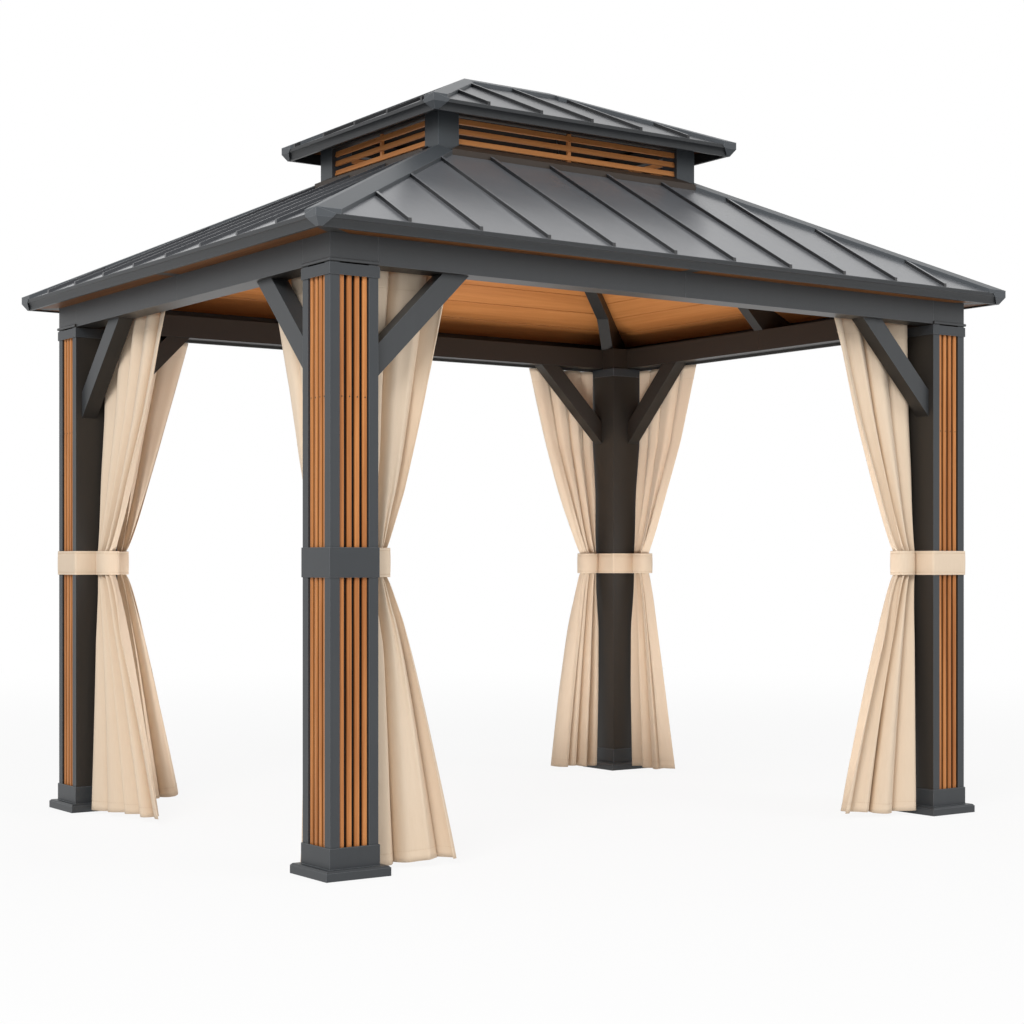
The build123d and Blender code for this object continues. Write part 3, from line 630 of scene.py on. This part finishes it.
def cloth_mesh(name, points, faces, spans):
    """A smooth mesh of the curtain cloth, with its place on the flat cloth as UV."""
    mesh = bpy.data.meshes.new(name)
    mesh.from_pydata(points, [], faces)
    layer = mesh.uv_layers.new(name="cloth")
    for loop in mesh.loops:
        layer.data[loop.index].uv = spans[loop.vertex_index]
    mesh.polygons.foreach_set("use_smooth", [True] * len(faces))
    mesh.materials.append(cloth)
    return mesh


def sewn_on(name, points, joins, pitch, stitch):
    """Stitches along lines of points."""
    line = bpy.data.meshes.new(name)
    line.from_pydata(points, joins, [])
    values = {"Pitch": pitch, "Length": stitch, "Thread": thread_radius, "Material": thread_finish}
    return made_by_tree(name, line, stitch_tree, values)


def curtain(name, side, hand, top, hem, folds, sway, seed):
    """A gathered curtain as one pleated sheet, with stitched header and hem."""
    draw = random.Random(seed)
    waves = [(count, size / count, begin) for count, size, begin in drawn_waves(draw, (1, 2, 3, 4), 0.6, 1.3)]
    swells = drawn_waves(draw, (1, 2, 3, 5), 0.05, 0.13)
    leans = drawn_waves(draw, (1, 2, 3), 0.2, 0.4)
    creases = [(draw.uniform(1.7, 3.4), draw.uniform(0, math.tau)) for _ in range(3)]
    drift = draw.uniform(0, math.tau)
    half, face = half_sizes[side]
    inner = side in ("front", "left")
    shown, first_phase = (-1, 0) if inner else (1, math.pi)
    rail_level = inner_rail if inner else outer_rail
    columns = round(columns_a_fold * folds)
    above = [rail_level - (rail_level - tie_top) * i / rows_above for i in range(rows_above + 1)]
    within = [tie_top - (tie_top - tie_bottom) * i / rows_within for i in range(1, rows_within)]
    below = [tie_bottom - (tie_bottom - hem_level) * i / rows_below for i in range(rows_below + 1)]
    seams = [rail_level - header_depth, hem_level + hem_depth]
    tucks = [seam + step for seam in seams for step in (-tuck_reach, 0.0, tuck_reach)]
    levels = sorted(above + within + below + tucks, reverse=True)
    levels = [z for i, z in enumerate(levels) if i == 0 or levels[i - 1] - z > 0.001 or z in seams]
    points, spans = [], []
    for level in levels:
        middle, half_deep = depth_zone(inner, level)
        deep = min(half_deep, fold_reach)
        width = curtain_width(top, hem, rail_level, level)
        pinch = eased(level, tie_bottom - pinch_below, tie_bottom)
        pinch *= 1 - eased(level, tie_top, tie_top + pinch_above)
        loose = 1 - pinch
        away = abs(level - (tie_top + tie_bottom) / 2)
        tuck = seam_draw if any(abs(level - seam) < seam_draw_reach for seam in seams) else 1.0
        row = []
        for column in range(columns + 1):
            u = column / columns
            phase = math.tau * folds * u + u * wave_sum(waves, u)
            phase += fold_wander * u * math.sin(wander_rate * away + drift + 3 * u) + first_phase
            crest = math.sqrt(math.sin(phase / 2) ** 2 + fold_round)
            swell = 1 - (sum(size for _, size, _ in swells) + wave_sum(swells, u, 0.8 * away)) / 2
            lean = wave_sum(leans, u)
            bundle = 1 - pinch * (1 - (1 - abs(2 * u - 1) ** tie_round) ** (1 / tie_round)) * pinch_depth
            crease = sum(math.sin(rate * phase + begin + away) for rate, begin in creases) / 3
            crease *= crease_share + tie_crease_share * math.exp(-away / tie_crease_reach)
            rise = shown * deep * swell * bundle * ((2 * crest - 1) * fold_share + crease) * tuck
            rise -= sway * (half_deep - deep) * math.cos(math.pi * u)
            bend = (0.5 + 0.2 * math.sin(3.3 * u + drift)) * loose / (math.tau * folds)
            step = width * (u - bend * math.sin(phase)) + lean * rise * 0.8
            row.append((step, rise))
        least, most = min(step for step, _ in row), max(step for step, _ in row)
        begin_at = half - post_gap - hem_shift * max(0.0, (tie_bottom - level) / (tie_bottom - hem_level))
        begin_at += rail_shift * eased(level, tie_top, brace_foot)
        scale = (width - (half - post_gap - begin_at)) / (most - least)
        lift = 1 - eased(level, hem_level, hem_level + hem_lift_reach)
        down = cloth_length * (rail_level - level) / (rail_level - hem_level)
        for column, (step, rise) in enumerate(row):
            u = column / columns
            along = hand * (begin_at - (step - least) * scale)
            sag = lift * (hem_lift * u * u + hem_wave * math.sin(9 * u + drift))
            points.append(turned(side, along, face - middle - rise, level + sag))
            spans.append((u * folds * fold_cloth, down))
    wide = columns + 1
    faces = []
    for r in range(len(levels) - 1):
        for c in range(columns):
            a = r * wide + c
            quad = (a, a + wide, a + wide + 1, a + 1)
            faces.append(quad if hand > 0 else (quad[0], quad[3], quad[2], quad[1]))
    mesh = cloth_mesh(name, points, faces, spans)
    piece = link(f"{name}_cloth", mesh)
    thickness = piece.modifiers.new("thickness", "SOLIDIFY")
    thickness.thickness = cloth_thickness
    thickness.offset = 0.0
    sewn, joins = [], []
    for seam in seams:
        r = min(range(len(levels)), key=lambda i: abs(levels[i] - seam))
        for flip in (1, -1):
            first = len(sewn)
            for c in range(wide):
                vertex = mesh.vertices[r * wide + c]
                sewn.append(vertex.co + vertex.normal * flip * thread_lift)
            joins += [(i, i + 1) for i in range(first, len(sewn) - 1)]
    stitches = sewn_on(f"{name}_stitches", sewn, joins, seam_pitch, seam_stitch)
    for sewn_piece in (piece, stitches):
        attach(sewn_piece, "root")
    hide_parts(name)
    return piece


# each curtain's width at its rail and at its hem, its folds, and which way it swings across its rail
curtain_sizes = {
    ("front", -1, "front_left"): (0.36, 0.35, 2.6, -1), ("front", 1, "front_right"): (0.48, 0.425, 3.5, 1),
    ("right", -1, "front_right"): (0.444, 0.36, 3.4, 1), ("right", 1, "back_right"): (0.444, 0.348, 3.5, 1),
    ("back", -1, "back_right"): (0.398, 0.288, 3.4, 1), ("back", 1, "back_left"): (0.432, 0.36, 3.5, 1),
    ("left", -1, "back_left"): (0.66, 0.618, 4.5, 1), ("left", 1, "front_left"): (0.45, 0.2, 2.6, 1),
}
first_seed = 40
for number, ((side, hand, corner), sizes) in enumerate(curtain_sizes.items()):
    curtain(f"{side}_curtain_at_{corner}", side, hand, *sizes, first_seed + number)


# Curtain ties: flat bands of the same cloth, folded double and stitched along both edges.
# One goes round the waist of each curtain, and on three posts a wider band goes round the collar too.
band_wall, band_clearance = 0.0024, 0.0045
collar_reach, strap_reach, strap_round = 0.1005, 0.1037, 26
band_stitch_pitch, band_stitch = 0.008, 0.0055
outline_steps = 96
edge_rows = ((0.0, -0.0008), (0.0015, 0.0), (0.0085, 0.0002), (0.0105, -0.0007), (0.0125, 0.0002))
band_swell, middle_shares = 0.0009, (0.25, 0.4, 0.5, 0.6, 0.75)
stitch_row, stitch_lift = edge_rows[3][0], 0.0001


def band(outline):
    """A closed band of doubled cloth along an outline, and the lines its stitches follow."""
    height = tie_top - tie_bottom
    rows = list(edge_rows)
    for share in middle_shares:
        rows.append((height * share, edge_rows[-1][1] + band_swell * math.sin(math.pi * share)))
    rows += [(height - level, swell) for level, swell in reversed(edge_rows)]
    count = len(outline)
    normals = []
    for i in range(count):
        way = outline[(i + 1) % count] - outline[i - 1]
        normals.append(Vector((way.y, -way.x, 0)).normalized())

    def ring(level, swell):
        lift = Vector((0, 0, tie_bottom + level))
        return [outline[i] + normals[i] * swell + lift for i in range(count)]

    points = [point for level, swell in rows for point in ring(level, swell)]
    faces = []
    for r in range(len(rows) - 1):
        for i in range(count):
            j = (i + 1) % count
            faces.append((r * count + i, r * count + j, (r + 1) * count + j, (r + 1) * count + i))
    sewn = [ring(level, stitch_lift) for level in (stitch_row, height - stitch_row)]
    lengths = [(outline[(i + 1) % count] - outline[i]).length for i in range(count)]
    return points, faces, sewn, lengths, [level for level, _ in rows]


def rounded_outline(centre_along, centre_out, half_along, half_out, power, side):
    """A rounded rectangle in plan, anticlockwise, as seen from above."""
    outline = []
    for step in range(outline_steps):
        angle = math.tau * step / outline_steps
        c, s = math.cos(angle), math.sin(angle)
        along = centre_along + half_along * math.copysign(abs(c) ** (2 / power), c)
        out = centre_out - half_out * math.copysign(abs(s) ** (2 / power), s)
        outline.append(turned(side, along, out, 0))
    return outline


for corner in corners:
    loops = [(side, hand) for side, hand, place in curtain_sizes if place == corner]
    outlines = []
    strapped = corner != "front_left"
    for side, hand in loops:
        half, face = half_sizes[side]
        middle, deep = depth_zone(side in ("front", "left"), tie_bottom)
        near = half - post_width / 2 - (strap_reach if strapped else collar_reach)
        far = half - post_gap - waist - band_clearance
        reach = (near - far) / 2
        outlines.append(rounded_outline(hand * (near + far) / 2, face - middle, reach,
                                        deep + band_clearance, tie_round, side))
    if strapped:
        low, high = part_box(f"{corner}_post")
        centre = (low + high) / 2
        outlines.append(rounded_outline(centre.x, -centre.y, strap_reach, strap_reach, strap_round, "front"))
    points, faces, spans, sewn, joins, length = [], [], [], [], [], 0.0
    for outline in outlines:
        ring_points, ring_faces, ring_sewn, lengths, ring_levels = band(outline)
        base = len(points)
        points += ring_points
        faces += [[base + i for i in quad] for quad in ring_faces]
        at = [length + sum(lengths[:i]) for i in range(len(lengths))]
        spans += [(a, level) for level in ring_levels for a in at]
        length += sum(lengths)
        for line in ring_sewn:
            first = len(sewn)
            sewn += line
            joins += [(first + i, first + (i + 1) % len(line)) for i in range(len(line))]
    name = f"curtain_tie_at_{corner}"
    piece = link(name, cloth_mesh(name, points, faces, spans))
    thickness = piece.modifiers.new("thickness", "SOLIDIFY")
    thickness.thickness = band_wall
    thickness.offset = -1.0
    stitches = sewn_on(f"{name}_stitches", sewn, joins, band_stitch_pitch, band_stitch)
    for sewn_piece in (piece, stitches):
        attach(sewn_piece, "root")
    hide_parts("curtain_ties")


# Studio: a wide pale floor under a white sky, a broad soft lamp on the left and a fainter one on the right.
# Two weak lamps on the floor light the ceiling and the far corner from inside.
# Floor and sky show as white to the camera and in reflections, and the floor keeps a soft shadow.
floor_radius, floor_sides, floor_level = 70.0, 96, -0.001
near_glow, glow_near, glow_far = 0.89, 2.5, 12.0
white, pale_grey = (1.0, 1.0, 1.0, 1.0), (0.86, 0.86, 0.86, 1.0)
sky_light, sky_shown = 0.5, 1.0


def shown_directly(start):
    """1 on rays from the camera, in mirrors and through glass, and 0 on rays that only carry light."""
    camera_ray = start.node("ShaderNodeLightPath", out="Is Camera Ray")
    glossy_ray = start.node("ShaderNodeLightPath", out="Is Glossy Ray")
    glass_ray = start.node("ShaderNodeLightPath", out="Is Transmission Ray")
    sockets = {0: camera_ray, 1: glossy_ray + glass_ray}
    return start.node("ShaderNodeMath", {"operation": "ADD", "use_clamp": True}, sockets)


floor_finish, start = start_finish("pale_studio_floor")
matte = start.node("ShaderNodeBsdfDiffuse", {}, {"Color": pale_grey})
glow = start.node("ShaderNodeEmission", {}, {"Color": white, "Strength": 1.0})
place = start.node("ShaderNodeTexCoord", out="Object")
distance = start.node("ShaderNodeVectorMath", {"operation": "LENGTH"}, {0: place}, "Value")
glow_share = distance.between(near_glow, 1.0, glow_near, glow_far, "SMOOTHSTEP")
pale = start.node("ShaderNodeMixShader", {}, {0: shown_directly(start) * glow_share, 1: matte, 2: glow})
start.node("ShaderNodeOutputMaterial", {}, {"Surface": pale})
mesh = bpy.data.meshes.new("studio_floor")
turns = [math.tau * i / floor_sides for i in range(floor_sides)]
rim = [(floor_radius * math.cos(turn), floor_radius * math.sin(turn), floor_level) for turn in turns]
mesh.from_pydata(rim, [], [list(range(floor_sides))])
mesh.materials.append(floor_finish)
link("studio_floor", mesh)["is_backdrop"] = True

world = bpy.data.worlds.new("white_studio")
world.use_nodes = True
world.node_tree.nodes.clear()
start = Socket(world.node_tree)
strength = shown_directly(start).between(sky_light, sky_shown)
sky = start.node("ShaderNodeBackground", {}, {"Color": white, "Strength": strength})
start.node("ShaderNodeOutputWorld", {}, {"Surface": sky})
bpy.context.scene.world = world


def soft_lamp(name, place, aim, across, power, spread=180):
    lamp = bpy.data.lights.new(name, "AREA")
    lamp.spread = math.radians(spread)
    lamp.shape = "DISK"
    lamp.size = across
    lamp.energy = power
    lamp_object = link(name, lamp)
    lamp_object.location = place
    lamp_object.visible_camera = False
    lamp_object.visible_glossy = False
    lamp_object.rotation_euler = (Vector(aim) - Vector(place)).to_track_quat("-Z", "Y").to_euler()


soft_lamp("key_lamp", (-8.5, -6.5, 7.0), (0, 0, 1.4), 5.0, 700)
soft_lamp("fill_lamp", (5.0, -10.0, 5.0), (0, 0, 1.4), 6.0, 260)
soft_lamp("back_lamp", (-0.6, -0.9, 0.15), (1.45, 1.05, 2.1), 0.6, 3, 60)
soft_lamp("floor_lamp", (0, 0, 0.05), (0, 0, 2.2), 2.4, 36)

camera = bpy.data.cameras.new("camera")
camera.sensor_width = 36.0
camera.lens = 67.3
camera.shift_y = 0.0515
camera_object = link("camera", camera)
camera_object.location = (-4.881, -6.970, 1.088)
camera_object.rotation_euler = (math.radians(90), 0, math.radians(-35.14))
bpy.context.scene.camera = camera_object
bpy.context.scene.view_settings.view_transform = "Standard"

low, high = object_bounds()
